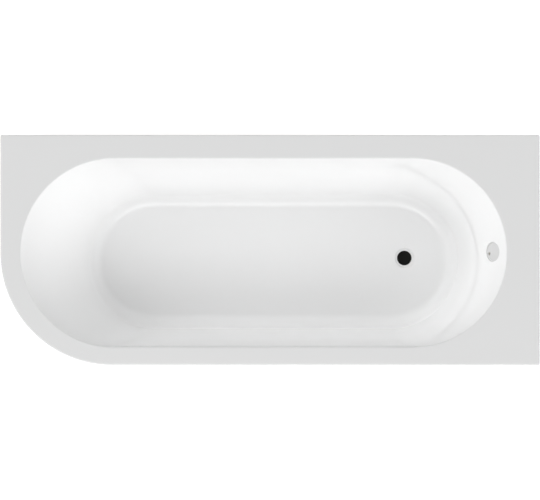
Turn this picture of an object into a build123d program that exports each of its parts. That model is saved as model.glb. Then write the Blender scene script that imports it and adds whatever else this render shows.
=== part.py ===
from build123d import *
from math import cos, cosh, radians, sin, sqrt, tanh
import os

os.makedirs("parts", exist_ok=True)

# Overall size of the rim, height above the floor, and the big rounded corner at front left.
LENGTH, WIDTH, HEIGHT = 1700.0, 725.0, 560.0
BIG_CORNER, TIGHT_CORNER = 352.5, 5.0
LIP = 38.0
ACRYLIC, GLASS = 5.0, 3.0
EDGE_ROLL, OPENING_ROLL = 5.0, 6.0

# Well: opening edges, depth, and how each wall leans. A wall runs inward by lean per mm of depth,
# plus a flare near the rim. The floor meets every wall in one radius.
WELL_HEAD, WELL_TAP, WELL_FRONT, WELL_BACK = -786.0, 745.0, -304.7, 287.3
DEPTH, FLOOR_RADIUS, FLARE_DEPTH = 400.0, 50.0, 110.0
LEAN_HEAD, FLARE_HEAD = 0.337, 0.25
LEAN_TAP, FLARE_TAP = 0.067, 0.574
LEAN_BACK, FLARE_BACK = 0.2145, 0.12
LEAN_FRONT, FLARE_FRONT = 0.074, 0.03

# Waste hole in its dish, and the round overflow recess on the tap end wall.
WASTE_X, WASTE_Y, WASTE_R = 476.6, -28.5, 26.0
DISH_R, DISH_DEPTH = 36.0, 5.0
OVERFLOW_R, OVERFLOW_DEPTH, OVERFLOW_BELOW_RIM, OVERFLOW_TILT = 31.3, 5.0, 55.0, 62.6
OVERFLOW_Y, OVERFLOW_HOLE_R, OVERFLOW_HOLE_DROP, OVERFLOW_HOLE_SIDE = -5.7, 6.0, 21.5, 6.5


def wall_run(depth, lean, flare, skin):
    """How far a wall has come inward at a depth; skin moves the wall outward."""
    run = lean * depth + flare * FLARE_DEPTH * tanh(depth / FLARE_DEPTH)
    slope = lean + flare / cosh(depth / FLARE_DEPTH) ** 2
    return run - skin * sqrt(1 + slope**2)


def well_section(depth, skin):
    head = WELL_HEAD + wall_run(depth, LEAN_HEAD, FLARE_HEAD, skin)
    tap = WELL_TAP - wall_run(depth, LEAN_TAP, FLARE_TAP, skin)
    back = WELL_BACK - wall_run(depth, LEAN_BACK, FLARE_BACK, skin)
    front = WELL_FRONT + wall_run(depth, LEAN_FRONT, FLARE_FRONT, skin)
    slot = SlotOverall(tap - head, back - front)
    return Pos((head + tap) / 2, (back + front) / 2, HEIGHT - depth) * slot


def well_body(skin, top):
    """Solid in the shape of the well, grown outward by skin, from depth top down to its floor."""
    bottom = DEPTH + skin
    depths = [top, 24.0, 50.0, 80.0, 115.0, 155.0, 205.0, 265.0, 330.0, bottom]
    body = loft([well_section(d, skin) for d in depths])
    return fillet(body.faces().sort_by(Axis.Z)[0].edges(), FLOOR_RADIUS + skin)


def rim_face(inset, z):
    x, y = LENGTH / 2 - inset, WIDTH / 2 - inset
    tight = max(TIGHT_CORNER - inset, 0.6)
    line = FilletPolyline(
        (-x, y), (x, y), (x, -y), (-x, -y), radius=[tight, tight, tight, BIG_CORNER - inset], close=True
    )
    return Pos(0, 0, z) * make_face(line)


def rim_slab(inset, low, high):
    return extrude(rim_face(inset, low), high - low)


# Overflow recess: a plane that leans back less than the wall, centred on the wall surface.
overflow_x = WELL_TAP - wall_run(OVERFLOW_BELOW_RIM, LEAN_TAP, FLARE_TAP, 0.0)
overflow_plane = Plane(
    origin=(overflow_x, OVERFLOW_Y, HEIGHT - OVERFLOW_BELOW_RIM),
    x_dir=(0, 1, 0),
    z_dir=(-sin(radians(OVERFLOW_TILT)), 0, cos(radians(OVERFLOW_TILT))),
)


def overflow_rod(radius, low, high, side=0.0, drop=0.0):
    """Cylinder on the axis of the overflow recess; low and high are measured out of the wall."""
    offset = Pos(-side, -drop if overflow_plane.y_dir.Z > 0 else drop, (low + high) / 2)
    return overflow_plane * offset * Cylinder(radius, high - low)


def upright(x, y, radius, low, high):
    return Pos(x, y, (low + high) / 2) * Cylinder(radius, high - low)


def block(x0, x1, y0, y1, z0, z1):
    return Pos((x0 + x1) / 2, (y0 + y1) / 2, (z0 + z1) / 2) * Box(x1 - x0, y1 - y0, z1 - z0)


def save(name, shape):
    export_step(shape, f"parts/{name}.step")


FLOOR = HEIGHT - DEPTH
SKIN = ACRYLIC + GLASS

# Acrylic shell: rim plate with a turned-down lip, well, waste dish and overflow recess.
well = well_body(0.0, -12.0)
acrylic_body = (
    well_body(ACRYLIC, 2.0)
    + upright(WASTE_X, WASTE_Y, DISH_R + ACRYLIC, FLOOR - ACRYLIC - DISH_DEPTH, FLOOR - 1)
    + overflow_rod(OVERFLOW_R + ACRYLIC, -OVERFLOW_DEPTH - ACRYLIC, -1.0)
)
glass_body = (
    well_body(SKIN, 6.0)
    + upright(WASTE_X, WASTE_Y, DISH_R + SKIN, FLOOR - SKIN - DISH_DEPTH, FLOOR - 1)
    + overflow_rod(OVERFLOW_R + SKIN, -OVERFLOW_DEPTH - SKIN, -1.0)
)
rim = rim_slab(0.0, HEIGHT - LIP, HEIGHT)
rim = fillet(rim.edges().group_by(Axis.Z)[-1], EDGE_ROLL)
rim -= rim_slab(ACRYLIC, HEIGHT - LIP - 1, HEIGHT - ACRYLIC)
dish = Pos(WASTE_X, WASTE_Y, FLOOR - DISH_DEPTH / 2) * Cone(DISH_R - 6.0, DISH_R, DISH_DEPTH)
waste_hole = upright(WASTE_X, WASTE_Y, WASTE_R, FLOOR - 30, FLOOR + 1)
recess = overflow_rod(OVERFLOW_R, -OVERFLOW_DEPTH, 30.0)
overflow_hole = overflow_rod(
    OVERFLOW_HOLE_R, -OVERFLOW_DEPTH - 20, 0, OVERFLOW_HOLE_SIDE, OVERFLOW_HOLE_DROP
)
shell = rim + acrylic_body - well - dish - recess - waste_hole - overflow_hole
opening = [
    e
    for e in shell.edges().group_by(Axis.Z)[-1]
    if all(v.X > WELL_HEAD - 5 and v.Y > WELL_FRONT - 5 for v in e.vertices())
    and all(v.X < WELL_TAP + 5 and v.Y < WELL_BACK + 5 for v in e.vertices())
]
shell = fillet(opening, OPENING_ROLL)
save("acrylic_shell", shell)

# Glass fibre and resin sprayed on the back of the acrylic and under the rim plate.
backing = rim_slab(ACRYLIC, HEIGHT - SKIN, HEIGHT - ACRYLIC) + glass_body - acrylic_body - well
backing -= waste_hole + overflow_hole
save("fibreglass_backing", backing)

# Heights under the floor of the well, from the backing down to the channels.
BOARD_TOP = FLOOR - SKIN
BOARD_LOW = BOARD_TOP - 15.0
WRAP_LOW = BOARD_LOW - 2.0
BAR_STEEL, BAR_HEIGHT, BAR_WIDTH = 2.0, 22.0, 40.0
WEB_LOW = WRAP_LOW - BAR_STEEL
HEAD_BAR_X, TAP_BAR_X, CENTRE_X = -400.0, 320.0, -40.0
MID_Y, FRONT_LEG_Y, BACK_LEG_Y = -39.0, -298.0, 222.0
BAR_FRONT, BAR_BACK = -340.0, 242.0
LEGS = {
    "head_front": (HEAD_BAR_X, FRONT_LEG_Y, 185.0, WEB_LOW - 10.0, WRAP_LOW),
    "head_back": (HEAD_BAR_X, BACK_LEG_Y, 185.0, WEB_LOW - 10.0, WRAP_LOW),
    "tap_front": (TAP_BAR_X, FRONT_LEG_Y, 185.0, WEB_LOW - 10.0, WRAP_LOW),
    "tap_back": (TAP_BAR_X, BACK_LEG_Y, 185.0, WEB_LOW - 10.0, WRAP_LOW),
    "centre": (CENTRE_X, MID_Y, 115.0, 92.0, 82.8),
}
STUD_R, NUT_ACROSS, SCREW_R, STEEL_HOLE_R = 6.0, 19.0, 2.2, 2.6


def pan_screw(length, head_r=4.4):
    """Screw pointing up: pan head below zero with a cross recess, pointed shank above."""
    head = fillet(Cylinder(head_r, 2.8).edges().group_by(Axis.Z)[0], 1.6)
    shank = Pos(0, 0, (length - 3) / 2 + 1.4) * Cylinder(SCREW_R, length - 3)
    tip = Pos(0, 0, length - 1.5 + 1.4) * Cone(SCREW_R, 0.3, 3)
    cross = Pos(0, 0, -1.4) * (Box(0.9, 4.6, 2.2) + Box(4.6, 0.9, 2.2))
    return Pos(0, 0, -1.4) * (head + shank + tip - cross)


def hexagon(across, low, high, bore):
    """Hexagon nut or collar with its corners turned off on both faces."""
    height = high - low
    blank = extrude(RegularPolygon(across / 2, 6, major_radius=False), height)
    turned = Pos(0, 0, height / 2) * Cylinder(across * 0.572, height)
    turned = chamfer(turned.edges().group_by(Axis.Z)[0] + turned.edges().group_by(Axis.Z)[-1], 1.1)
    nut = blank & turned
    if bore:
        nut -= Cylinder(bore, height * 3)
    return Pos(0, 0, low) * nut


# Chipboard under the floor, its two tap-end corners cut back, and the skin that bonds it on.
BOARD_X0, BOARD_X1, BOARD_HALF = -520.0, 400.0, 166.0


def board_face(grow):
    x0, x1, half = BOARD_X0 - grow, BOARD_X1 + grow, BOARD_HALF + grow
    cut = 70.0
    outline = FilletPolyline(
        (x0, half), (x1 - cut, half), (x1, half - cut), (x1, cut - half), (x1 - cut, -half), (x0, -half),
        radius=[60 + grow, 8 + grow, 8 + grow, 8 + grow, 8 + grow, 60 + grow],
        close=True,
    )
    return Pos(0, MID_Y, 0) * make_face(outline)


bar_screws = [
    (x, y, WEB_LOW) for x in (HEAD_BAR_X, TAP_BAR_X) for y in (-170.0, -85.0, 7.0, 92.0)
]
bracket_screws = [(CENTRE_X + i * 40.0, MID_Y + j * 14.0, WEB_LOW) for i in (-1, 1) for j in (-1, 1)]
frame_screws = bar_screws + bracket_screws
screw_holes = [upright(x, y, SCREW_R, z - 1, z + 15.0) for x, y, z in frame_screws]
board = Pos(0, 0, BOARD_LOW) * extrude(board_face(0.0), BOARD_TOP - BOARD_LOW)
wrap = Pos(0, 0, WRAP_LOW) * extrude(board_face(2.0), BOARD_TOP - WRAP_LOW)
wrap += Pos(0, 0, BOARD_TOP - 2) * extrude(board_face(13.0), 2.0)
save("board_laminate", wrap - board - screw_holes)
save("baseboard", board - screw_holes)
save(
    "frame_screws",
    Compound(children=[Pos(x, y, z) * pan_screw(14.5) for x, y, z in frame_screws]),
)

# Two pressed channels across the board, open side down, with a leg hole near each end.
for name, x in (("leg_bar_head", HEAD_BAR_X), ("leg_bar_tap", TAP_BAR_X)):
    bar = block(x - BAR_WIDTH / 2, x + BAR_WIDTH / 2, BAR_FRONT, BAR_BACK, WRAP_LOW - BAR_HEIGHT, WRAP_LOW)
    bar = fillet(bar.edges().filter_by(Axis.Y).group_by(Axis.Z)[-1], 4.0)
    inside = block(
        x - BAR_WIDTH / 2 + BAR_STEEL,
        x + BAR_WIDTH / 2 - BAR_STEEL,
        BAR_FRONT - 1,
        BAR_BACK + 1,
        WRAP_LOW - BAR_HEIGHT - 1,
        WEB_LOW,
    )
    inside = fillet(inside.edges().filter_by(Axis.Y).group_by(Axis.Z)[-1], 2.0)
    bar -= inside
    bar -= [upright(x, y, STUD_R + 0.5, WEB_LOW - 1, WRAP_LOW + 1) for y in (FRONT_LEG_Y, BACK_LEG_Y)]
    bar -= [upright(x, sy, STEEL_HOLE_R, WEB_LOW - 1, WRAP_LOW + 1) for sx, sy, sz in bar_screws if sx == x]
    bar -= upright(x, BAR_FRONT + 14, STEEL_HOLE_R, WEB_LOW - 1, WRAP_LOW + 1)
    save(name, bar)

# Hat bracket in the middle: two flanges on the board, two sides, and a web that carries the fifth leg.
hat = block(CENTRE_X - 55, CENTRE_X + 55, MID_Y - 25, MID_Y + 25, WEB_LOW, WRAP_LOW)
hat += block(CENTRE_X - 25, CENTRE_X + 25, MID_Y - 25, MID_Y + 25, 90, WRAP_LOW)
hat -= block(CENTRE_X - 23, CENTRE_X + 23, MID_Y - 26, MID_Y + 26, 92, WRAP_LOW + 1)
hat = fillet(hat.edges().filter_by(Axis.Y).group_by(Axis.Z)[0], 2.0)
hat -= upright(CENTRE_X, MID_Y, STUD_R + 0.5, 89, 93)
hat -= [upright(x, y, STEEL_HOLE_R, z - 1, z + 3) for x, y, z in bracket_screws]
save("centre_bracket", hat)

# Legs: welded nut and lock nut on the frame, threaded stud with a hexagon collar, round foot.
weld_nuts, lock_nuts = [], []
for name, (x, y, top, nut_low, lock_low) in LEGS.items():
    place = Pos(x, y, 0)
    weld_nuts.append(place * hexagon(NUT_ACROSS, nut_low, nut_low + 10.0, STUD_R + 0.05))
    lock_nuts.append(place * hexagon(NUT_ACROSS, lock_low, lock_low + 7.0, STUD_R + 0.05))
    stud = Pos(0, 0, (6.3 + top) / 2) * Cylinder(STUD_R, top - 6.3)
    stud = chamfer(stud.edges().group_by(Axis.Z)[-1], 1.2)
    stud += hexagon(NUT_ACROSS, 22.3, 31.3, 0.0)
    save(f"leg_stud_{name}", place * stud)
    foot = Pos(0, 0, 3) * Cylinder(30.0, 6.0) + Pos(0, 0, 13.5) * Cone(26.0, 13.0, 17.0)
    foot = fillet(foot.edges().group_by(Axis.Z)[-1], 2.0)
    foot = chamfer(foot.edges().group_by(Axis.Z)[0], 0.8)
    foot -= Pos(0, 0, 16) * Cylinder(STUD_R + 0.05, 20.0)
    for k in range(8):
        rib_gap = Rot(0, 0, 45 * k + 22.5) * Pos(20.5, 0, 11) * Box(7.0, 3.0, 10.0)
        foot -= rib_gap
    save(f"foot_pad_{name}", place * foot)
save("weld_nuts", Compound(children=weld_nuts))
save("lock_nuts", Compound(children=lock_nuts))

# Wood strips glassed in under the rim plate, one along each side.
BATTEN_TOP = HEIGHT - SKIN
BATTEN_LOW = BATTEN_TOP - 18.0
battens = {
    "back": (-828.0, 832.0, 306.0, 346.0),
    "front": (-490.0, 778.0, -341.0, -320.0),
    "tap_end": (786.0, 830.0, -300.0, 304.0),
    "head_end": (-831.0, -806.0, 0.0, 304.0),
}
wall_brackets = {
    "back_head": (Pos(-480, 362.5, 0) * Rot(0, 0, 0), "back"),
    "back_tap": (Pos(480, 362.5, 0) * Rot(0, 0, 0), "back"),
    "tap_end": (Pos(850, 60, 0) * Rot(0, 0, -90), "tap_end"),
}
clips = {
    "front_1": (Pos(-350, -352, 0) * Rot(0, 0, 180), "front"),
    "front_2": (Pos(100, -352, 0) * Rot(0, 0, 180), "front"),
    "front_3": (Pos(600, -352, 0) * Rot(0, 0, 180), "front"),
    "head_1": (Pos(-839.5, 60, 0) * Rot(0, 0, 90), "head_end"),
    "head_2": (Pos(-839.5, 250, 0) * Rot(0, 0, 90), "head_end"),
}
batten_holes = {name: [] for name in battens}

# Steel angle: one leg under a batten, the other hanging behind the lip with two wall screw holes.
bracket_fixings = []
for name, (place, batten) in wall_brackets.items():
    plate = block(-25, 25, -52, -5, BATTEN_LOW - 2, BATTEN_LOW)
    plate += block(-25, 25, -7, -5, BATTEN_LOW - 56, BATTEN_LOW)
    plate -= [Pos(i * 15, -6, BATTEN_LOW - 40) * Rot(90, 0, 0) * Cylinder(3.25, 6) for i in (-1, 1)]
    plate -= [upright(i * 15, -36, STEEL_HOLE_R, BATTEN_LOW - 3, BATTEN_LOW + 1) for i in (-1, 1)]
    save(f"wall_bracket_{name}", place * plate)
    for i in (-1, 1):
        spot = place * Pos(i * 15, -36, BATTEN_LOW - 2)
        bracket_fixings.append(spot * pan_screw(14.5))
        batten_holes[batten].append(spot * Pos(0, 0, 7) * Cylinder(SCREW_R, 16))
save("wall_bracket_screws", Compound(children=bracket_fixings))

# Spring steel clip: screwed under a batten, its leg presses the panel against the lip.
clip_fixings = []
for name, (place, batten) in clips.items():
    clip = block(-13, 13, -34, 0, BATTEN_LOW - 1.5, BATTEN_LOW)
    clip += block(-13, 13, -1.5, 0, BATTEN_LOW - 36, BATTEN_LOW)
    clip -= upright(0, -22, STEEL_HOLE_R, BATTEN_LOW - 3, BATTEN_LOW + 1)
    save(f"panel_clip_{name}", place * clip)
    spot = place * Pos(0, -22, BATTEN_LOW - 1.5)
    clip_fixings.append(spot * pan_screw(14.5))
    batten_holes[batten].append(spot * Pos(0, 0, 7) * Cylinder(SCREW_R, 16))
save("panel_clip_screws", Compound(children=clip_fixings))

for name, (x0, x1, y0, y1) in battens.items():
    batten = block(x0, x1, y0, y1, BATTEN_LOW, BATTEN_TOP)
    save(f"rim_batten_{name}", batten - batten_holes[name])

# Side panel: one sheet bent round the front, the big corner and the head end, its top tucked behind the
# lip. Its two flat runs and its round run stand as solids that meet face to face.
PANEL_INSET, PANEL_T, PANEL_LOW, PANEL_TOP = 6.5, 4.0, 8.0, HEIGHT - SKIN - 3.0
PANEL_BACK_Y = PANEL_INSET + PANEL_T - WIDTH / 2
PANEL_BACK_X = PANEL_INSET + PANEL_T - LENGTH / 2
PANEL_TAP_X, PANEL_HEAD_Y = LENGTH / 2 - PANEL_INSET, WIDTH / 2 - PANEL_INSET
BEND_X, BEND_Y = BIG_CORNER - LENGTH / 2, BIG_CORNER - WIDTH / 2
FIX_Z = 112.0
fixings = [(x, PANEL_BACK_Y - PANEL_T, FIX_Z) for x in (HEAD_BAR_X, TAP_BAR_X)]
front_run = block(BEND_X, PANEL_TAP_X, PANEL_BACK_Y - PANEL_T, PANEL_BACK_Y, PANEL_LOW, PANEL_TOP)
front_run -= [Pos(x, PANEL_BACK_Y, z) * Rot(90, 0, 0) * Cylinder(STEEL_HOLE_R, 12) for x, y, z in fixings]
save("side_panel_front", front_run)
bend = rim_slab(PANEL_INSET, PANEL_LOW, PANEL_TOP)
bend -= rim_slab(PANEL_INSET + PANEL_T, PANEL_LOW - 1, PANEL_TOP + 1)
save("side_panel_corner", bend & block(-LENGTH / 2, BEND_X, -WIDTH / 2, BEND_Y, 0, HEIGHT))
save(
    "side_panel_head",
    block(PANEL_BACK_X - PANEL_T, PANEL_BACK_X, BEND_Y, PANEL_HEAD_Y, PANEL_LOW, PANEL_TOP),
)

# Wood behind the flat runs: a rail along the bottom edge, and uprights that stand on it.
WOOD_T, RAIL_TOP, UPRIGHT_TOP, HALF_UPRIGHT = 12.0, PANEL_LOW + 20.0, 490.0, 22.0
save(
    "panel_rail_front",
    block(BEND_X, PANEL_TAP_X - 8, PANEL_BACK_Y, PANEL_BACK_Y + WOOD_T, PANEL_LOW, RAIL_TOP),
)
save(
    "panel_rail_head",
    block(PANEL_BACK_X, PANEL_BACK_X + WOOD_T, BEND_Y, PANEL_HEAD_Y - 8, PANEL_LOW, RAIL_TOP),
)
for number, x in ((1, -150.0), (2, 510.0)):
    save(
        f"panel_stiffener_front_{number}",
        block(
            x - HALF_UPRIGHT, x + HALF_UPRIGHT, PANEL_BACK_Y, PANEL_BACK_Y + WOOD_T, RAIL_TOP, UPRIGHT_TOP
        ),
    )
save(
    "panel_stiffener_head",
    block(
        PANEL_BACK_X, PANEL_BACK_X + WOOD_T, 155 - HALF_UPRIGHT, 155 + HALF_UPRIGHT, RAIL_TOP, UPRIGHT_TOP
    ),
)

# Angle on the front end of each channel; a screw through the panel runs into it, under a cap.
lower_screws, caps = [], []
for name, x in (("head", HEAD_BAR_X), ("tap", TAP_BAR_X)):
    angle = block(x - 15, x + 15, PANEL_BACK_Y, BAR_FRONT + 26, WRAP_LOW, WRAP_LOW + 2)
    angle += block(x - 15, x + 15, PANEL_BACK_Y, PANEL_BACK_Y + 2, FIX_Z - 12, WRAP_LOW + 2)
    angle -= upright(x, BAR_FRONT + 14, STEEL_HOLE_R, WRAP_LOW - 1, WRAP_LOW + 3)
    angle -= Pos(x, PANEL_BACK_Y, FIX_Z) * Rot(90, 0, 0) * Cylinder(SCREW_R, 10)
    save(f"panel_bracket_{name}", angle)
    lower_screws.append(Pos(x, BAR_FRONT + 14, WRAP_LOW + 2) * Rot(180, 0, 0) * pan_screw(10.0))
for x, y, z in fixings:
    place = Pos(x, y, z) * Rot(-90, 0, 0)
    lower_screws.append(place * pan_screw(12.0))
    cap = Pos(0, 0, -1.9) * Cylinder(7.5, 3.8)
    cap = fillet(cap.edges().group_by(Axis.Z)[0], 1.5)
    caps.append(place * (cap - Pos(0, 0, -1.45) * Cylinder(4.8, 2.9)))
save("panel_screws", Compound(children=lower_screws))
save("panel_screw_caps", Compound(children=caps))
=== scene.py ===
from math import atan, cos, cosh, pi, radians, sin, sqrt, tanh

import bmesh
import bpy
from mathutils import Matrix, Vector


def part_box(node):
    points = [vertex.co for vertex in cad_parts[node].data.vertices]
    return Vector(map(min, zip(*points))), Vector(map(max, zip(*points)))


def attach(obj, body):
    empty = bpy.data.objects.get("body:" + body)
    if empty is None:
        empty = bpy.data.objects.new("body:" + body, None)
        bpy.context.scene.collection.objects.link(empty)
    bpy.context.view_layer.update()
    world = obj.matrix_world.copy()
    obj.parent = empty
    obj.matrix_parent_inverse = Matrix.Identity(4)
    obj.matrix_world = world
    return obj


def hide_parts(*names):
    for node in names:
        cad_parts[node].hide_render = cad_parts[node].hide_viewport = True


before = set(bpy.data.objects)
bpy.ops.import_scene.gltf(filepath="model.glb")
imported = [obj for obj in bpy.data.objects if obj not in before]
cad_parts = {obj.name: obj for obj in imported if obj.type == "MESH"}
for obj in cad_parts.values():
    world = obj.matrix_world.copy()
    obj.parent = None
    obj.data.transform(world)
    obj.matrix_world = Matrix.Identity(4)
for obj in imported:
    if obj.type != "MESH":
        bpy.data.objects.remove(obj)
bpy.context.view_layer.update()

# Acrylic bath. One sheet of white cast acrylic, heated and drawn into a mould, so the rim, its turned-down
# lip and the well are one glossy skin about 5 mm thick, with rolled edges and a wide radius at the floor.
# The waste dish and the overflow recess are drawn into the same sheet and drilled afterwards.
RIM_Z, SHEET, CLEAR_OF_BACKING = 0.560, 0.005, 0.0001
WELL_DEPTH, FLOOR_RADIUS, MOUTH_ROLL, FLARE_DEPTH = 0.400, 0.050, 0.006, 0.110
# Where each wall of the well starts at the rim, its lean, and how much more it leans near the rim.
HEAD = (-0.7860, 0.337, 0.25)
TAP = (0.7450, 0.067, 0.574)
FRONT = (-0.3047, 0.074, 0.03)
BACK = (0.2873, 0.2145, 0.12)
MOUTH_STRIP, FLOOR_STRIP = 0.0015, 0.002
END_POINTS, SIDE_CUTS, WALL_STEPS = 96, 15, 22
NEAR, EXACT = 1e-5, 1e-6


def wall_run(depth, lean, flare):
    """How far a wall of the well has come inward at a depth, with its top roll and the floor radius."""
    top_tilt = atan(lean + flare)
    if depth < MOUTH_ROLL * (1 - sin(top_tilt)):
        start = -MOUTH_ROLL * (1 - sin(top_tilt)) / cos(top_tilt)
        return start + sqrt(MOUTH_ROLL ** 2 - (MOUTH_ROLL - depth) ** 2)
    foot_tilt = atan(lean + flare / cosh(WELL_DEPTH / FLARE_DEPTH) ** 2)
    foot = lean * WELL_DEPTH + flare * FLARE_DEPTH * tanh(WELL_DEPTH / FLARE_DEPTH)
    below = depth - (WELL_DEPTH - FLOOR_RADIUS)
    if below > FLOOR_RADIUS * sin(foot_tilt):
        centre = foot + FLOOR_RADIUS * (1 - sin(foot_tilt)) / cos(foot_tilt)
        return centre - sqrt(max(FLOOR_RADIUS ** 2 - below ** 2, 0.0))
    return lean * depth + flare * FLARE_DEPTH * tanh(depth / FLARE_DEPTH)


def oval(depth, inward=0.0):
    """Centres of the two round ends of the well at a depth, their y, their radius, and the height."""
    head = HEAD[0] + wall_run(depth, *HEAD[1:]) + inward
    tap = TAP[0] - wall_run(depth, *TAP[1:]) - inward
    front = FRONT[0] + wall_run(depth, *FRONT[1:]) + inward
    back = BACK[0] - wall_run(depth, *BACK[1:]) - inward
    radius = (back - front) / 2
    return head + radius, tap - radius, (front + back) / 2, radius, RIM_Z - depth


def pick(obj, wanted):
    """Selects the vertices of obj that wanted() accepts, in edit mode."""
    bm = bmesh.from_edit_mesh(obj.data)
    bpy.ops.mesh.select_mode(type="VERT")
    for v in bm.verts:
        v.select_set(bool(wanted(v)))
    bm.select_flush(True)
    bm.select_flush(False)
    bmesh.update_edit_mesh(obj.data)


def step_oval(obj, old, new):
    """Extrudes the selected oval edge and moves its round ends and straight sides to a new section."""
    head, tap, mid, radius, z = old
    new_head, new_tap, new_mid, new_radius, new_z = new
    wider, longer = new_radius / radius, (new_tap - new_head) / (tap - head)
    bpy.ops.mesh.extrude_edges_move(TRANSFORM_OT_translate={"value": (0, 0, new_z - z)})
    ring = {v.index: v.co.x for v in bmesh.from_edit_mesh(obj.data).verts if v.select}
    head_end = {i for i, x in ring.items() if x < head + NEAR}
    tap_end = {i for i, x in ring.items() if x > tap - NEAR}
    sides = set(ring) - head_end - tap_end
    for group, old_x, new_x, along in (
        (head_end, head, new_head, wider), (tap_end, tap, new_tap, wider), (sides, head, new_head, longer),
    ):
        pick(obj, lambda v: v.index in group)
        bpy.ops.transform.resize(value=(along, wider, 1), center_override=(old_x, mid, new_z))
        bpy.ops.transform.translate(value=(new_x - old_x, new_mid - mid, 0))
    pick(obj, lambda v: v.index in ring)


bpy.ops.object.select_all(action="DESELECT")
first = oval(0.0, -MOUTH_STRIP)
head_x, tap_x, middle_y, end_radius, mouth_z = first
bpy.ops.mesh.primitive_circle_add(vertices=END_POINTS, radius=end_radius, location=(0, 0, 0))
bath = bpy.context.object
bath.name = "bath"
bpy.ops.object.mode_set(mode="EDIT")
bpy.ops.mesh.select_all(action="SELECT")
bpy.ops.transform.translate(value=(head_x, middle_y, mouth_z))
pick(bath, lambda v: v.co.x > head_x + NEAR)
bpy.ops.mesh.delete(type="VERT")
bpy.ops.mesh.primitive_circle_add(vertices=END_POINTS, radius=end_radius, location=(tap_x, middle_y, mouth_z))
pick(bath, lambda v: 0 < v.co.x < tap_x - NEAR)
bpy.ops.mesh.delete(type="VERT")
for side in (-1, 1):
    pick(bath, lambda v: abs(v.co.y - middle_y - side * end_radius) < EXACT)
    bpy.ops.mesh.edge_face_add()
    bpy.ops.mesh.subdivide(number_cuts=SIDE_CUTS)
bpy.ops.mesh.select_all(action="SELECT")
plain_wall = WELL_DEPTH - FLOOR_RADIUS - MOUTH_ROLL
depths = [MOUTH_ROLL * (1 - cos(radians(a))) for a in range(0, 91, 15)]
depths += [MOUTH_ROLL + plain_wall * k / WALL_STEPS for k in range(1, WALL_STEPS)]
depths += [WELL_DEPTH - FLOOR_RADIUS * (1 - sin(radians(a))) for a in range(0, 91, 9)]
last = first
for section in [oval(d) for d in depths] + [oval(WELL_DEPTH, FLOOR_STRIP)]:
    step_oval(bath, last, section)
    last = section

# The waste dish: a shallow cone with a drilled hole, joined to the flat floor. DISH has the radius and the
# height of each of its rings.
WASTE, DISH_POINTS = (0.4766, -0.0285), 64
DISH = (
    (0.0375, 0.160), (0.0360, 0.160), (0.0350, 0.1596), (0.0342, 0.1588), (0.0306, 0.1557),
    (0.0299, 0.1552), (0.0290, 0.155), (0.0275, 0.155), (0.0260, 0.155),
)
bpy.ops.mesh.primitive_circle_add(vertices=DISH_POINTS, radius=DISH[0][0], location=(*WASTE, DISH[0][1]))
for (r0, z0), (r1, z1) in zip(DISH, DISH[1:]):
    bpy.ops.mesh.extrude_edges_move(TRANSFORM_OT_translate={"value": (0, 0, z1 - z0)})
    bpy.ops.transform.resize(value=(r1 / r0, r1 / r0, 1), center_override=(*WASTE, z1))
pick(bath, lambda v: abs(v.co.z - DISH[0][1]) < EXACT and v.is_boundary)
bpy.ops.mesh.fill(use_beauty=True)

# The rim plate: straight on the two wall sides, with one wide corner at the front of the head end.
RIM_X, RIM_Y, WIDE, TIGHT, LEAST = 0.850, 0.3625, 0.3525, 0.005, 0.0003
LIP, LIP_ROLL, HOLD = 0.038, 0.005, 0.0015
PLATE_INSET = LIP_ROLL + HOLD
WIDE_CUTS, TIGHT_CUTS = 60, 6
CORNERS = ((-1, -1, WIDE), (1, -1, TIGHT), (1, 1, TIGHT), (-1, 1, TIGHT))


def corner(sx, sy, radius, inset):
    """Centre and radius of one corner of the rim outline, drawn in by inset."""
    left = max(radius - inset, LEAST)
    return sx * (RIM_X - inset - left), sy * (RIM_Y - inset - left), left


def step_rim(obj, old, new, drop):
    """Extrudes the selected rim edge, moves it from one inset to another, and lowers it."""
    bpy.ops.mesh.extrude_edges_move(TRANSFORM_OT_translate={"value": (0, 0, -drop)})
    ring = {v.index: v.co.copy() for v in bmesh.from_edit_mesh(obj.data).verts if v.select}
    height = next(iter(ring.values())).z
    for sx, sy, radius in CORNERS:
        (x0, y0, r0), (x1, y1, r1) = corner(sx, sy, radius, old), corner(sx, sy, radius, new)
        group = {i for i, co in ring.items() if (co.x - x0) * sx > -NEAR and (co.y - y0) * sy > -NEAR}
        pick(obj, lambda v: v.index in group)
        bpy.ops.transform.resize(value=(r1 / r0, r1 / r0, 1), center_override=(x0, y0, height))
        bpy.ops.transform.translate(value=(x1 - x0, y1 - y0, 0))
    pick(obj, lambda v: v.index in ring)


bpy.ops.mesh.select_all(action="DESELECT")
bpy.ops.mesh.primitive_plane_add(size=1, location=(0, 0, RIM_Z))
half_x, half_y = RIM_X - PLATE_INSET, RIM_Y - PLATE_INSET
bpy.ops.transform.resize(value=(2 * half_x, 2 * half_y, 1), center_override=(0, 0, RIM_Z))
for sx, sy, radius in CORNERS:
    spot = Vector((sx * half_x, sy * half_y, RIM_Z))
    pick(bath, lambda v: (v.co - spot).length < NEAR)
    cuts = WIDE_CUTS if radius == WIDE else TIGHT_CUTS
    bpy.ops.mesh.bevel(offset=corner(sx, sy, radius, PLATE_INSET)[2], segments=cuts, affect="VERTICES")
pick(bath, lambda v: any(len(f.verts) > WIDE_CUTS for f in v.link_faces))
bpy.ops.mesh.delete(type="ONLY_FACE")
pick(bath, lambda v: v.is_wire)
insets = [PLATE_INSET] + [LIP_ROLL - LIP_ROLL * sin(radians(a)) for a in range(0, 91, 15)] + [0.0, 0.0, 0.0]
drops = [0.0] + [LIP_ROLL * (1 - cos(radians(a))) for a in range(0, 91, 15)]
drops += [LIP_ROLL + HOLD, LIP - HOLD, LIP]
for i in range(1, len(insets)):
    step_rim(bath, insets[i - 1], insets[i], drops[i] - drops[i - 1])
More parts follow.
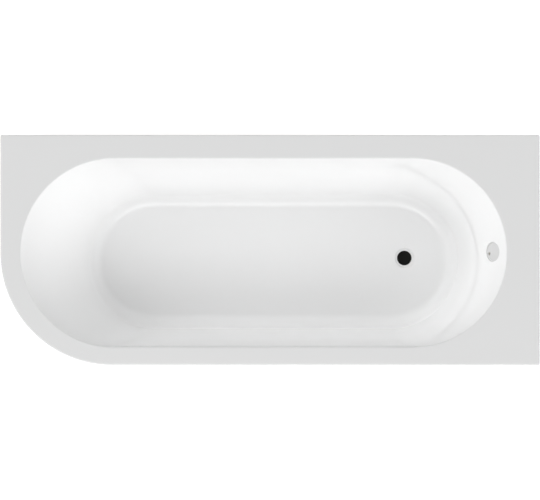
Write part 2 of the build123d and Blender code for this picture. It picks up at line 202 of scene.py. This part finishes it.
pick(bath, lambda v: v.co.z > RIM_Z - EXACT and v.is_boundary)
bpy.ops.mesh.fill(use_beauty=True)

# The overflow recess: a round pocket set square into the tap end wall, with its hole low down.
RECESS_R, RECESS_EDGE, RECESS_DEEP, RECESS_ROUND, SEAT_STRIP = 0.0313, 0.002, 0.005, 0.0008, 0.0010
RECESS_BELOW_RIM, RECESS_Y, RECESS_POINTS = 0.055, -0.0057, 64
HOLE_R, HOLE_DROP, HOLE_SIDE, HOLE_POINTS = 0.0060, 0.0215, 0.0065, 48
CUTTER, CUTTER_REACH = 0.05, 0.06
tilt = atan(TAP[1] + TAP[2] / cosh(RECESS_BELOW_RIM / FLARE_DEPTH) ** 2)
recess_out = Vector((-cos(tilt), 0, sin(tilt)))
recess_up = Vector((sin(tilt), 0, cos(tilt)))
recess_at = Vector((TAP[0] - wall_run(RECESS_BELOW_RIM, *TAP[1:]), RECESS_Y, RIM_Z - RECESS_BELOW_RIM))
recess_turn = Matrix(((0, 1, 0), recess_up, recess_out)).transposed()
recess_mouth = RECESS_R + RECESS_EDGE


def from_recess(co):
    """How far a point is from the axis of the recess, and how far out along it."""
    arm = co - recess_at
    out = arm.dot(recess_out)
    return (arm - out * recess_out).length, out


bpy.ops.mesh.select_all(action="DESELECT")
bpy.ops.mesh.primitive_cylinder_add(
    vertices=RECESS_POINTS, radius=recess_mouth, depth=CUTTER, end_fill_type="NOTHING",
    location=recess_at, rotation=(0, tilt - pi / 2, 0),
)
bpy.ops.mesh.intersect(mode="SELECT_UNSELECT", separate_mode="NONE", solver="EXACT")
bpy.ops.mesh.select_mode(type="FACE")
for f in bmesh.from_edit_mesh(bath.data).faces:
    away, out = from_recess(f.calc_center_median())
    f.select_set(away < recess_mouth + 5 * NEAR and abs(out) < CUTTER_REACH)
bmesh.update_edit_mesh(bath.data)
bpy.ops.mesh.delete(type="FACE")
pick(bath, lambda v: v.is_boundary and abs(from_recess(v.co)[0] - recess_mouth) < 20 * NEAR)
rings = [
    (RECESS_R + RECESS_EDGE * (1 - sin(radians(a))), RECESS_EDGE * (1 - cos(radians(a))))
    for a in (30, 60, 90)
]
rings += [(RECESS_R, RECESS_DEEP - RECESS_ROUND)]
rings += [
    (RECESS_R - RECESS_ROUND * (1 - cos(radians(a))), RECESS_DEEP - RECESS_ROUND * (1 - sin(radians(a))))
    for a in (30, 60, 90)
]
rings += [(RECESS_R - SEAT_STRIP, RECESS_DEEP)]
last = (recess_mouth, 0.0)
for radius, deep in rings:
    bpy.ops.mesh.extrude_edges_move(TRANSFORM_OT_translate={"value": (last[1] - deep) * recess_out})
    shrink = radius / last[0]
    # The rolled edge follows the curve of the wall, and what is deeper lies flat.
    bpy.ops.transform.resize(
        value=(shrink, shrink, 0 if deep > RECESS_EDGE else shrink),
        center_override=recess_at - deep * recess_out,
        orient_type="GLOBAL", orient_matrix=recess_turn, orient_matrix_type="GLOBAL",
    )
    last = (radius, deep)
bpy.ops.mesh.select_all(action="DESELECT")
hole = recess_at - RECESS_DEEP * recess_out - HOLE_DROP * recess_up - Vector((0, HOLE_SIDE, 0))
bpy.ops.mesh.primitive_circle_add(
    vertices=HOLE_POINTS, radius=HOLE_R, location=hole, rotation=(0, tilt - pi / 2, 0)
)
pick(bath, lambda v: (v.is_boundary or v.is_wire) and abs(from_recess(v.co)[1] + RECESS_DEEP) < NEAR)
bpy.ops.mesh.fill(use_beauty=True)

# The sheet gets its thickness on the hidden side, and its drilled and cut edges a small chamfer.
EDGE_CHAMFER, SHARP = 0.0007, 50


def thicken(obj, thickness):
    """Gives a sheet its thickness, inward from its shown face, with chamfered edges and smooth shading."""
    sheet = obj.modifiers.new("sheet", "SOLIDIFY")
    sheet.thickness, sheet.offset = thickness, -1
    edges = obj.modifiers.new("edges", "BEVEL")
    edges.width, edges.segments = EDGE_CHAMFER, 2
    edges.limit_method, edges.angle_limit = "ANGLE", radians(SHARP)
    obj.modifiers.new("shading", "WEIGHTED_NORMAL").keep_sharp = True
    bpy.ops.object.shade_smooth()
    for modifier in ("sheet", "edges", "shading"):
        bpy.ops.object.modifier_apply(modifier=modifier)


bpy.ops.mesh.select_all(action="SELECT")
bpy.ops.mesh.remove_doubles(threshold=NEAR)
bpy.ops.mesh.normals_make_consistent(inside=False)
if max(bmesh.from_edit_mesh(bath.data).faces, key=lambda f: f.calc_area()).normal.z < 0:
    bpy.ops.mesh.flip_normals()
bpy.ops.object.mode_set(mode="OBJECT")
thicken(bath, SHEET - CLEAR_OF_BACKING)


class Link:
    """A shader socket that ordinary arithmetic can be done on: each step adds its Math node."""

    def __init__(self, tree, socket=None):
        self.tree, self.socket = tree, socket

    def node(self, kind, settings=(), sockets=(), output=0):
        """Adds a node, sets it up, feeds its sockets with values or links, and gives one of its outputs."""
        made = self.tree.nodes.new("ShaderNode" + kind)
        for key, value in dict(settings).items():
            if key == "stops":
                stops = made.color_ramp.elements
                for i, (where, colour) in enumerate(value):
                    stop = stops[i] if i < 2 else stops.new(where)
                    stop.position, stop.color = where, colour
            else:
                setattr(made, key, value)
        for key, value in dict(sockets).items():
            if isinstance(value, Link):
                self.tree.links.new(value.socket, made.inputs[key])
            else:
                made.inputs[key].default_value = value
        return Link(self.tree, made.outputs[output])

    def sum(self, operation, *values):
        return self.node("Math", {"operation": operation}, enumerate(values))

    def __add__(self, other):
        return self.sum("ADD", self, other)

    def __sub__(self, other):
        return self.sum("SUBTRACT", self, other)

    def __rsub__(self, other):
        return self.sum("SUBTRACT", other, self)

    def __mul__(self, other):
        return self.sum("MULTIPLY", self, other)

    __radd__, __rmul__ = __add__, __mul__


def finish(name, **constants):
    """A new material: its maker's link, its place links in metres, and the shader with its constants set."""
    made = bpy.data.materials.new(name)
    made.use_nodes = True
    shader = made.node_tree.nodes["Principled BSDF"]
    for key, value in constants.items():
        shader.inputs[key.replace("_", " ")].default_value = value
    link = Link(made.node_tree)
    return made, link, link.node("TexCoord", output=3), shader


def feed(link, shader, **sockets):
    """Joins links to sockets of the shader."""
    for key, value in sockets.items():
        link.tree.links.new(value.socket, shader.inputs[key.replace("_", " ")])


def mix(link, factor, first, second):
    """A colour between two, by a link."""
    return link.node("Mix", {"data_type": "RGBA"}, {0: factor, 6: first, 7: second}, output=2)


def noise(link, place, scale, detail=2.0, **more):
    """A soft random pattern, by default with little fine detail."""
    return link.node("TexNoise", {}, {"Vector": place, "Scale": scale, "Detail": detail, **more})


def bump(link, height, strength, distance):
    """A surface that stands up with height, by up to distance in metres."""
    return link.node("Bump", {}, {"Height": height, "Strength": strength, "Distance": distance})


def fade(link, value, none, full):
    """A soft mask that is 0 where a value is at none and 1 where it is at full."""
    return link.node("MapRange", {"interpolation_type": "SMOOTHSTEP"}, {0: value, 1: none, 2: full})


def apart(link, vector):
    """The x, y and z of a place or direction."""
    return [link.node("SeparateXYZ", {}, {0: vector}, output=i) for i in range(3)]


# White acrylic with a deep gloss, the slight waviness of drawn sheet and a film of fine wear. The walls
# of the well are bright; painted shade makes its floor a shade duller, the flat rim greyer and the waste
# dish a faint grey ring. The seat of the overflow is painted grey as shade, and is satin.
# The floor colour here is painted shade, a touch duller than the walls.
WALL_WHITE, FLOOR_PAINTED_SHADE = (0.946, 0.948, 0.948, 1), (0.938, 0.940, 0.940, 1)
# Painted shade colours for the flat rim and for the waste dish.
RIM_PAINTED_SHADE, DISH_PAINTED_SHADE = (0.725, 0.727, 0.727, 1), (0.850, 0.852, 0.852, 1)
# The second colour here is the painted grey shade of the overflow seat.
CLOUD_WHITE, SEAT_PAINTED_SHADE = (0.84, 0.842, 0.842, 1), (0.70, 0.70, 0.70, 1)
MOUTH_BLUR, FLOOR_BLUR, DISH_BLUR, CLOUD_SHARE = 0.0025, 0.0006, (0.0366, 0.0346), 0.1
SEAT_DEPTH, SEAT_BLUR, SEAT_RAGGED, SEAT_SHORT = (-0.0004, -0.0016), (0.0370, 0.0330), 0.004, 0.16
acrylic, link, place, shader = finish("white_acrylic", IOR=1.49)
wave = noise(link, place, 9.0)
cloud = noise(link, place, 2.5, 3.0)
film = noise(link, place, 160.0, 4.0, Roughness=0.6)
ragged = noise(link, place, 90.0, 3.0)
x, y, z = apart(link, place)
mouth_radius = (BACK[0] - FRONT[0]) / 2
spine_half = (TAP[0] - HEAD[0]) / 2 - mouth_radius
along = link.sum("MAXIMUM", link.sum("ABSOLUTE", x - (HEAD[0] + TAP[0]) / 2) - spine_half, 0.0)
across = y - (FRONT[0] + BACK[0]) / 2
from_spine = link.sum("SQRT", along * along + across * across)
# Mask between the well and the flat rim, whose colour is painted shade.
well_not_rim_shade = fade(link, from_spine, mouth_radius + MOUTH_BLUR, mouth_radius - MOUTH_BLUR)
# Mask of the painted shade on the floor of the well.
floor_shade_mask = fade(link, z, DISH[0][1] + FLOOR_BLUR, DISH[0][1])
aside, ahead = x - WASTE[0], y - WASTE[1]
# Mask of the painted shade in the waste dish.
dish_shade_mask = fade(link, link.sum("SQRT", aside * aside + ahead * ahead), *DISH_BLUR)
# Painted shade: the floor and the waste dish take duller whites than the walls.
well_with_painted_shade = mix(link, dish_shade_mask, mix(link, floor_shade_mask, WALL_WHITE, FLOOR_PAINTED_SHADE), DISH_PAINTED_SHADE)
# Painted shade: the flat rim takes a greyer white than the well.
white = mix(link, cloud * CLOUD_SHARE, mix(link, well_not_rim_shade, RIM_PAINTED_SHADE, well_with_painted_shade), CLOUD_WHITE)
out, up = [
    (x - recess_at.x) * axis.x + (y - recess_at.y) * axis.y + (z - recess_at.z) * axis.z
    for axis in (recess_out, recess_up)
]
beside = y - recess_at.y
from_seat = link.sum("SQRT", up * up + beside * beside) + ragged * SEAT_RAGGED
from_seat = from_seat + link.sum("MAXIMUM", up, 0.0) * SEAT_SHORT
# Mask of the painted grey shade on the overflow seat, which also makes it satin.
seat_shade_and_satin = fade(link, out, *SEAT_DEPTH) * fade(link, from_seat, *SEAT_BLUR)
feed(
    link, shader,
    Base_Color=mix(link, seat_shade_and_satin, white, SEAT_PAINTED_SHADE),
    Roughness=film * 0.08 + 0.07 + seat_shade_and_satin * 0.25,
    Normal=bump(link, wave, 0.12, 0.002),
)
bath.data.materials.append(acrylic)
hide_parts("acrylic_shell")
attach(bath, "bath")

# Glass fibre chopped and sprayed with resin on the hidden side of the sheet, and rolled down by hand:
# a hard, milky skin with matted strands and small lumps. It also wraps the board under the floor.
STRAND_TONES = [(0.38, (0.50, 0.47, 0.37, 1)), (0.62, (0.74, 0.72, 0.64, 1))]
STRAND_WAYS = (((0.3, 0.2, 0.7), (1, 9, 3)), ((0.1, 0.5, -0.9), (8, 1, 4)))
resin, link, place, shader = finish("sprayed_glass_resin", IOR=1.52)
strands = []
for turn, draw in STRAND_WAYS:
    drawn = link.node("Mapping", {}, {"Vector": place, "Rotation": turn, "Scale": draw})
    strands.append(noise(link, drawn, 42.0, 3.0, Roughness=0.55))
matted = link.sum("MAXIMUM", *strands)
milky = link.node("ValToRGB", {"stops": STRAND_TONES}, {0: matted})
lump = noise(link, place, 26.0, 4.0, Roughness=0.6)
wet = noise(link, place, 5.0, 3.0)
feed(
    link, shader,
    Base_Color=mix(link, wet, milky, (0.66, 0.63, 0.53, 1)),
    Roughness=wet * 0.35 + 0.22,
    Normal=bump(link, matted * 0.5 + lump, 0.7, 0.003),
)


def dress(material, *nodes):
    """Puts a finish on the slots of CAD nodes."""
    for name in nodes:
        for place_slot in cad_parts[name].material_slots:
            place_slot.material = material


dress(resin, "fibreglass_backing", "board_laminate")

# The board under the floor: wood chips pressed with glue between two finer faces, sawn to the size of the
# floor and sealed in by the resin.
CHIP_STRETCH, DARK_CHIP, PALE_CHIP = (1, 1.6, 3), (0.36, 0.23, 0.12, 1), (0.66, 0.49, 0.30, 1)
chipboard, link, place, shader = finish("chipboard", Roughness=0.8)
drawn = link.node("Mapping", {}, {"Vector": place, "Scale": CHIP_STRETCH})
chip = link.node("TexVoronoi", {}, {"Vector": drawn, "Scale": 230.0}, output=1)
grey = link.node("SeparateColor", {}, {0: chip})
feed(link, shader, Base_Color=mix(link, grey, DARK_CHIP, PALE_CHIP), Normal=bump(link, grey, 0.4, 0.001))
dress(chipboard, "baseboard")

# Sawn softwood strips glassed in under the rim plate, and the rails and uprights glued behind the panel.
# The grain runs along each strip: 0 marks its direction.
GRAIN = {
    "rim_batten_back": (0, 1, 1), "rim_batten_front": (0, 1, 1), "rim_batten_tap_end": (1, 0, 1),
    "rim_batten_head_end": (1, 0, 1), "panel_stiffener_front_1": (1, 1, 0),
    "panel_stiffener_front_2": (1, 1, 0), "panel_stiffener_head": (1, 1, 0),
    "panel_rail_front": (0, 1, 1), "panel_rail_head": (1, 0, 1),
}
RING_TONES = [(0.40, (0.60, 0.42, 0.23, 1)), (0.52, (0.74, 0.57, 0.36, 1)), (0.60, (0.52, 0.33, 0.16, 1))]
PORE_BROWN, ALONG_GRAIN = (0.42, 0.27, 0.13, 1), 0.035
for way in sorted(set(GRAIN.values())):
    wood, link, place, shader = finish("sawn_wood_" + "xyz"[way.index(0)], Roughness=0.72)
    squeeze = tuple(1.0 if a else ALONG_GRAIN for a in way)
    drawn = link.node("Mapping", {}, {"Vector": place, "Scale": squeeze, "Location": (0.13, 0.07, 0.05)})
    ring = noise(link, drawn, 75.0, Distortion=0.6)
    pore = noise(link, drawn, 900.0, 3.0)
    feed(
        link, shader,
        Base_Color=mix(link, pore * 0.5, link.node("ValToRGB", {"stops": RING_TONES}, {0: ring}), PORE_BROWN),
        Normal=bump(link, pore + ring, 0.35, 0.0008),
    )
    dress(wood, *[name for name in GRAIN if GRAIN[name] == way])

# Two channels and a hat bracket carry the legs, and angles hold the rim and the panel: all are pressed from
# galvanised strip, with its dull zinc flowers.
galvanised, link, place, shader = finish("galvanised_steel", Metallic=1.0)
flower = link.node("TexVoronoi", {}, {"Vector": place, "Scale": 75.0}, output=1)
facet = link.node("SeparateColor", {}, {0: flower})
grime = noise(link, place, 22.0, 4.0)
feed(
    link, shader,
    Base_Color=mix(link, facet, (0.33, 0.34, 0.355, 1), (0.48, 0.49, 0.505, 1)),
    Roughness=facet * 0.16 + grime * 0.14 + 0.24,
    Normal=bump(link, facet, 0.12, 0.0004),
)
dress(
    galvanised, "leg_bar_head", "leg_bar_tap", "centre_bracket", "wall_bracket_back_head",
    "wall_bracket_back_tap", "wall_bracket_tap_end", "panel_bracket_head", "panel_bracket_tap",
)

# Nuts, screws and threaded legs: turned or rolled steel with bright zinc plating, a little blue. The screws
# go into the board, the strips and the panel brackets, and one nut of each pair is welded to its bar.
zinc, link, place, shader = finish("zinc_plate", Metallic=1.0)
cast = noise(link, place, 60.0)
brush = noise(link, place, 700.0)
feed(
    link, shader,
    Base_Color=mix(link, cast, (0.50, 0.53, 0.58, 1), (0.62, 0.62, 0.61, 1)),
    Roughness=brush * 0.14 + 0.2,
    Normal=bump(link, brush, 0.08, 0.0003),
)
dress(zinc, "weld_nuts", "lock_nuts", "frame_screws")
dress(zinc, "wall_bracket_screws", "panel_clip_screws", "panel_screws")

# Clips of spring steel, blued in the oven, that press the top of the panel against the lip. Each is folded
# from strip and screwed to a strip of wood under the rim.
spring, link, place, shader = finish("spring_steel", Metallic=1.0)
blue = noise(link, place, 45.0, 3.0)
feed(
    link, shader,
    Base_Color=mix(link, blue, (0.10, 0.11, 0.14, 1), (0.20, 0.19, 0.20, 1)),
    Roughness=blue * 0.2 + 0.25,
    Normal=bump(link, blue, 0.1, 0.0003),
)
clips = [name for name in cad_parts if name.startswith("panel_clip_") and name != "panel_clip_screws"]
dress(spring, *clips)

# Five threaded legs: M12 rod rolled with its thread, a hexagon collar for the spanner, and a plain end
# that turns in the foot.
PITCH, CREST, ROOT = 0.00175, 0.00597, 0.00495
THREAD = ((0, 0.00030), (CREST - ROOT, 0.00059), (0, 0.00022), (ROOT - CREST, 0.00064))
FOOT_END, SHANK_R, COLLAR, COLLAR_R = 0.0065, 0.006, (0.0223, 0.0313), 0.01097
COLLAR_CHAMFER, TIP, TIP_SCALE = 0.0009, 0.0012, 0.78
THREAD_START, THREAD_CUT, TURN_POINTS, SMOOTH_ANGLE = 0.0005, 0.0001, 24, 35
for leg in ("head_front", "head_back", "tap_front", "tap_back", "centre"):
    low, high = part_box("leg_stud_" + leg)
    axis_x, axis_y, top = (low.x + high.x) / 2, (low.y + high.y) / 2, high.z
    bpy.ops.object.select_all(action="DESELECT")
    bpy.ops.mesh.primitive_circle_add(vertices=4, radius=ROOT, location=(0, 0, COLLAR[1] - THREAD_START))
    stud = bpy.context.object
    stud.name = "threaded_leg_" + leg
    bpy.ops.object.transform_apply(location=True)
    bpy.ops.object.mode_set(mode="EDIT")
    pick(stud, lambda v: v.co.x < ROOT - EXACT)
    bpy.ops.mesh.delete(type="VERT")
    bpy.ops.mesh.select_all(action="SELECT")
    for out, up in THREAD:
        bpy.ops.mesh.extrude_vertices_move(TRANSFORM_OT_translate={"value": (out, 0, up)})
    bpy.ops.object.mode_set(mode="OBJECT")
    thread = stud.modifiers.new("thread", "SCREW")
    thread.steps = thread.render_steps = TURN_POINTS
    thread.screw_offset, thread.iterations = PITCH, int((top - COLLAR[1]) / PITCH) + 2
    bpy.ops.object.modifier_apply(modifier="thread")
    bpy.ops.object.mode_set(mode="EDIT")
    bpy.ops.mesh.select_all(action="SELECT")
    bpy.ops.mesh.remove_doubles(threshold=NEAR)
    bpy.ops.mesh.bisect(plane_co=(0, 0, top - TIP), plane_no=(0, 0, 1), clear_outer=True, use_fill=True)
    bpy.ops.mesh.extrude_region_move(TRANSFORM_OT_translate={"value": (0, 0, TIP)})
    bpy.ops.transform.resize(value=(TIP_SCALE, TIP_SCALE, 1), center_override=(0, 0, top))
    bpy.ops.mesh.select_all(action="SELECT")
    bpy.ops.mesh.bisect(
        plane_co=(0, 0, COLLAR[1] - THREAD_CUT), plane_no=(0, 0, 1), clear_inner=True, use_fill=True
    )
    for radius, bottom, upper, sides in ((SHANK_R, FOOT_END, COLLAR[0], 32), (COLLAR_R, *COLLAR, 6)):
        bpy.ops.mesh.select_all(action="DESELECT")
        bpy.ops.mesh.primitive_cylinder_add(
            vertices=sides, radius=radius, depth=upper - bottom, location=(0, 0, (upper + bottom) / 2),
            rotation=(0, 0, pi / 2),
        )
    pick(stud, lambda v: v.co.xy.length > CREST + COLLAR_CHAMFER and v.co.z > COLLAR[0] - EXACT)
    bpy.ops.mesh.bevel(offset=COLLAR_CHAMFER, segments=2, affect="EDGES")
    bpy.ops.mesh.select_all(action="SELECT")
    bpy.ops.mesh.normals_make_consistent(inside=False)
    bpy.ops.transform.translate(value=(axis_x, axis_y, 0))
    bpy.ops.object.mode_set(mode="OBJECT")
    bpy.ops.object.shade_smooth_by_angle(angle=radians(SMOOTH_ANGLE))
    stud.data.materials.append(zinc)
    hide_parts("leg_stud_" + leg)
    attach(stud, "stud_" + leg)

# Feet: ribbed cups of black glass-filled plastic, moulded with a fine spark finish. Each is snapped on the
# end of a leg, which turns in it, and is scuffed where it has stood and slid.
foot_plastic, link, place, shader = finish("black_moulded_plastic", IOR=1.5)
scuff = noise(link, place, 60.0, 4.0)
feed(
    link, shader,
    Base_Color=mix(link, scuff, (0.018, 0.018, 0.019, 1), (0.035, 0.034, 0.033, 1)),
    Roughness=scuff * 0.2 + 0.38,
    Normal=bump(link, noise(link, place, 1400.0), 0.15, 0.0003),
)
dress(foot_plastic, *[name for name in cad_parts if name.startswith("foot_pad_")])

# Side panel: one sheet of the same white acrylic, 4 mm thick, bent round the front, the wide corner and the
# head end. Its top edge tucks up behind the lip, and its bottom edge clears the floor.
PANEL_INSET, PANEL_SHEET, BEND_CUTS = 0.0065, 0.0040, 60
low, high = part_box("side_panel_head")
bpy.ops.object.select_all(action="DESELECT")
bpy.ops.mesh.primitive_plane_add(size=1, location=(0, 0, 0))
panel = bpy.context.object
panel.name = "side_panel_sheet"
bpy.ops.object.mode_set(mode="EDIT")
bpy.ops.mesh.select_all(action="SELECT")
half_x, half_y = RIM_X - PANEL_INSET, RIM_Y - PANEL_INSET
bpy.ops.transform.resize(value=(2 * half_x, 2 * half_y, 1), center_override=(0, 0, 0))
bpy.ops.transform.translate(value=(0, 0, low.z))
pick(panel, lambda v: v.co.x < 0 and v.co.y < 0)
bpy.ops.mesh.bevel(offset=WIDE - PANEL_INSET, segments=BEND_CUTS, affect="VERTICES")
bpy.ops.mesh.select_all(action="SELECT")
bpy.ops.mesh.delete(type="ONLY_FACE")
pick(panel, lambda v: v.co.x > 0 and v.co.y > 0)
bpy.ops.mesh.delete(type="VERT")
bpy.ops.mesh.select_all(action="SELECT")
bpy.ops.mesh.extrude_edges_move(TRANSFORM_OT_translate={"value": (0, 0, high.z - low.z)})
bpy.ops.mesh.select_all(action="SELECT")
bpy.ops.mesh.normals_make_consistent(inside=False)
if sum(f.normal.y * f.calc_area() for f in bmesh.from_edit_mesh(panel.data).faces) > 0:
    bpy.ops.mesh.flip_normals()
bpy.ops.object.mode_set(mode="OBJECT")
thicken(panel, PANEL_SHEET)
panel_white, link, place, shader = finish("white_panel_acrylic", IOR=1.49)
feed(
    link, shader,
    Base_Color=mix(link, noise(link, place, 2.5, 3.0), (0.80, 0.802, 0.80, 1), (0.83, 0.832, 0.83, 1)),
    Roughness=noise(link, place, 160.0, 4.0, Roughness=0.6) * 0.08 + 0.08,
    Normal=bump(link, noise(link, place, 6.0), 0.2, 0.003),
)
panel.data.materials.append(panel_white)
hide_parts("side_panel_front", "side_panel_corner", "side_panel_head")
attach(panel, "bath")

# Two press-in caps of white polypropylene hide the screws low on the panel. They are moulded, with a fine
# spark finish, a little duller and yellower than the acrylic.
cap_plastic, link, place, shader = finish("white_cap_plastic", IOR=1.49)
tint = noise(link, place, 30.0)
feed(
    link, shader,
    Base_Color=mix(link, tint, (0.78, 0.78, 0.76, 1), (0.83, 0.83, 0.82, 1)),
    Roughness=tint * 0.1 + 0.3,
    Normal=bump(link, noise(link, place, 1200.0), 0.1, 0.0003),
)
dress(cap_plastic, "panel_screw_caps")

# Floor: a wide matt sheet, plain and pale, that shows white to the camera and keeps the shadow of the
# bath. Under the bath its colour is painted dark as shadow, and there it shows no white.
FLOOR_SIZE, FLOOR_CUTS = 16, 16
# Where the painted shadow under the bath lies and fades, along x and y: middle, edge, inner.
SHADOW_PAINT_AREA = ((0.10, 0.78, 0.66), (-0.03, 0.31, 0.12))
# The last colour here is painted shadow under the bath.
PALE, PALE_SEEN, PAINTED_SHADOW_DARK = (0.8, 0.8, 0.8, 1), (0.45, 0.45, 0.45, 1), (0.012, 0.012, 0.012, 1)
UNLIT, WHITE_SEEN = (0, 0, 0, 1), (0.75, 0.75, 0.75, 1)


def sight(link):
    """Masks for rays that show a thing to the camera in any way, and for those that show it in gloss."""
    kinds = ("Is Camera Ray", "Is Glossy Ray", "Is Transmission Ray")
    straight, gloss, glass = [link.node("LightPath", output=kind) for kind in kinds]
    return link.sum("MAXIMUM", link.sum("MAXIMUM", straight, gloss), glass), gloss


floor_finish, link, place, shader = finish("pale_floor", Roughness=0.9, Emission_Strength=1.0)
bpy.ops.object.select_all(action="DESELECT")
bpy.ops.mesh.primitive_grid_add(
    x_subdivisions=FLOOR_CUTS, y_subdivisions=FLOOR_CUTS, size=FLOOR_SIZE, location=(0, 0, 0)
)
floor = bpy.context.object
floor.name = "studio_floor"
seen, in_gloss = sight(link)
# The mask of the painted shadow under the bath, which also turns off the floor's white there.
painted_shadow_mask = 1
for coordinate, (middle, edge, inner) in zip(apart(link, place), SHADOW_PAINT_AREA):
    painted_shadow_mask = painted_shadow_mask * fade(link, link.sum("ABSOLUTE", coordinate - middle), edge, inner)
feed(
    link, shader,
    Base_Color=mix(link, painted_shadow_mask, mix(link, seen, PALE, PALE_SEEN), PAINTED_SHADOW_DARK),
    Emission_Color=mix(link, seen * (1 - painted_shadow_mask), UNLIT, WHITE_SEEN),
)
floor.data.materials.append(floor_finish)

# Studio: white walls with broad soft lights low on every side and a dim ceiling, one large lamp high at the
# front, and the camera straight over the bath, as the photograph was taken.
SOFT_LIGHTS = (
    (180, 28, 1.76), (0, 28, 2.05), (-90, 20, 1.38), (-90, 45, 1.60), (-45, 40, 1.68), (135, 40, 2.95),
)
BEAM, GLOSS_WALL, GLOSS_CEILING = 12.0, 0.25, 1.05
CEILING = ((0.50, 0.30), (0.30, 0.17))
LAMP_AT, LAMP_AIM, LAMP_SIZE, LAMP_WATTS = (-0.4, -2.6, 4.6), (0, 0, 0.3), (2.9, 1.6), 30.0
CAMERA_ABOVE_RIM, LENS, SENSOR = 3.2, 67.76, 36.0
room = bpy.data.worlds.new("studio_room")
bpy.context.scene.world = room
room.use_nodes = True
link = Link(room.node_tree)
seen, in_gloss = sight(link)
toward = link.node("TexCoord", output=0)
soft_light = 0
for turn, rise, strength in SOFT_LIGHTS:
    turn, rise = radians(turn), radians(rise)
    axis = (cos(rise) * cos(turn), cos(rise) * sin(turn), sin(rise))
    facing = link.node("VectorMath", {"operation": "DOT_PRODUCT"}, {0: toward, 1: axis}, output=1)
    soft_light = soft_light + link.sum("POWER", link.sum("MAXIMUM", facing, 0.0), BEAM) * strength
ceiling = 1
for coordinate, (edge, inner) in zip(apart(link, toward), CEILING):
    ceiling = ceiling * fade(link, link.sum("ABSOLUTE", coordinate), edge, inner)
level = (1 - seen) * soft_light + seen * (in_gloss * (GLOSS_WALL - GLOSS_CEILING * ceiling) + 1)
room.node_tree.links.new(level.socket, room.node_tree.nodes["Background"].inputs["Color"])
bpy.ops.object.light_add(type="AREA", location=LAMP_AT)
lamp = bpy.context.object
lamp.name = "soft_lamp"
lamp.data.shape, lamp.data.energy = "RECTANGLE", LAMP_WATTS
lamp.data.size, lamp.data.size_y = LAMP_SIZE
lamp.rotation_euler = (Vector(LAMP_AIM) - lamp.location).to_track_quat("-Z", "Y").to_euler()
bpy.ops.object.camera_add(location=(0, 0, RIM_Z + CAMERA_ABOVE_RIM), rotation=(0, 0, 0))
camera = bpy.context.object
camera.name = "photo_camera"
camera.data.lens, camera.data.sensor_width = LENS, SENSOR
camera.data.clip_start, camera.data.clip_end = 0.05, 60.0
bpy.context.scene.camera = camera
bpy.context.scene.view_settings.view_transform = "Standard"
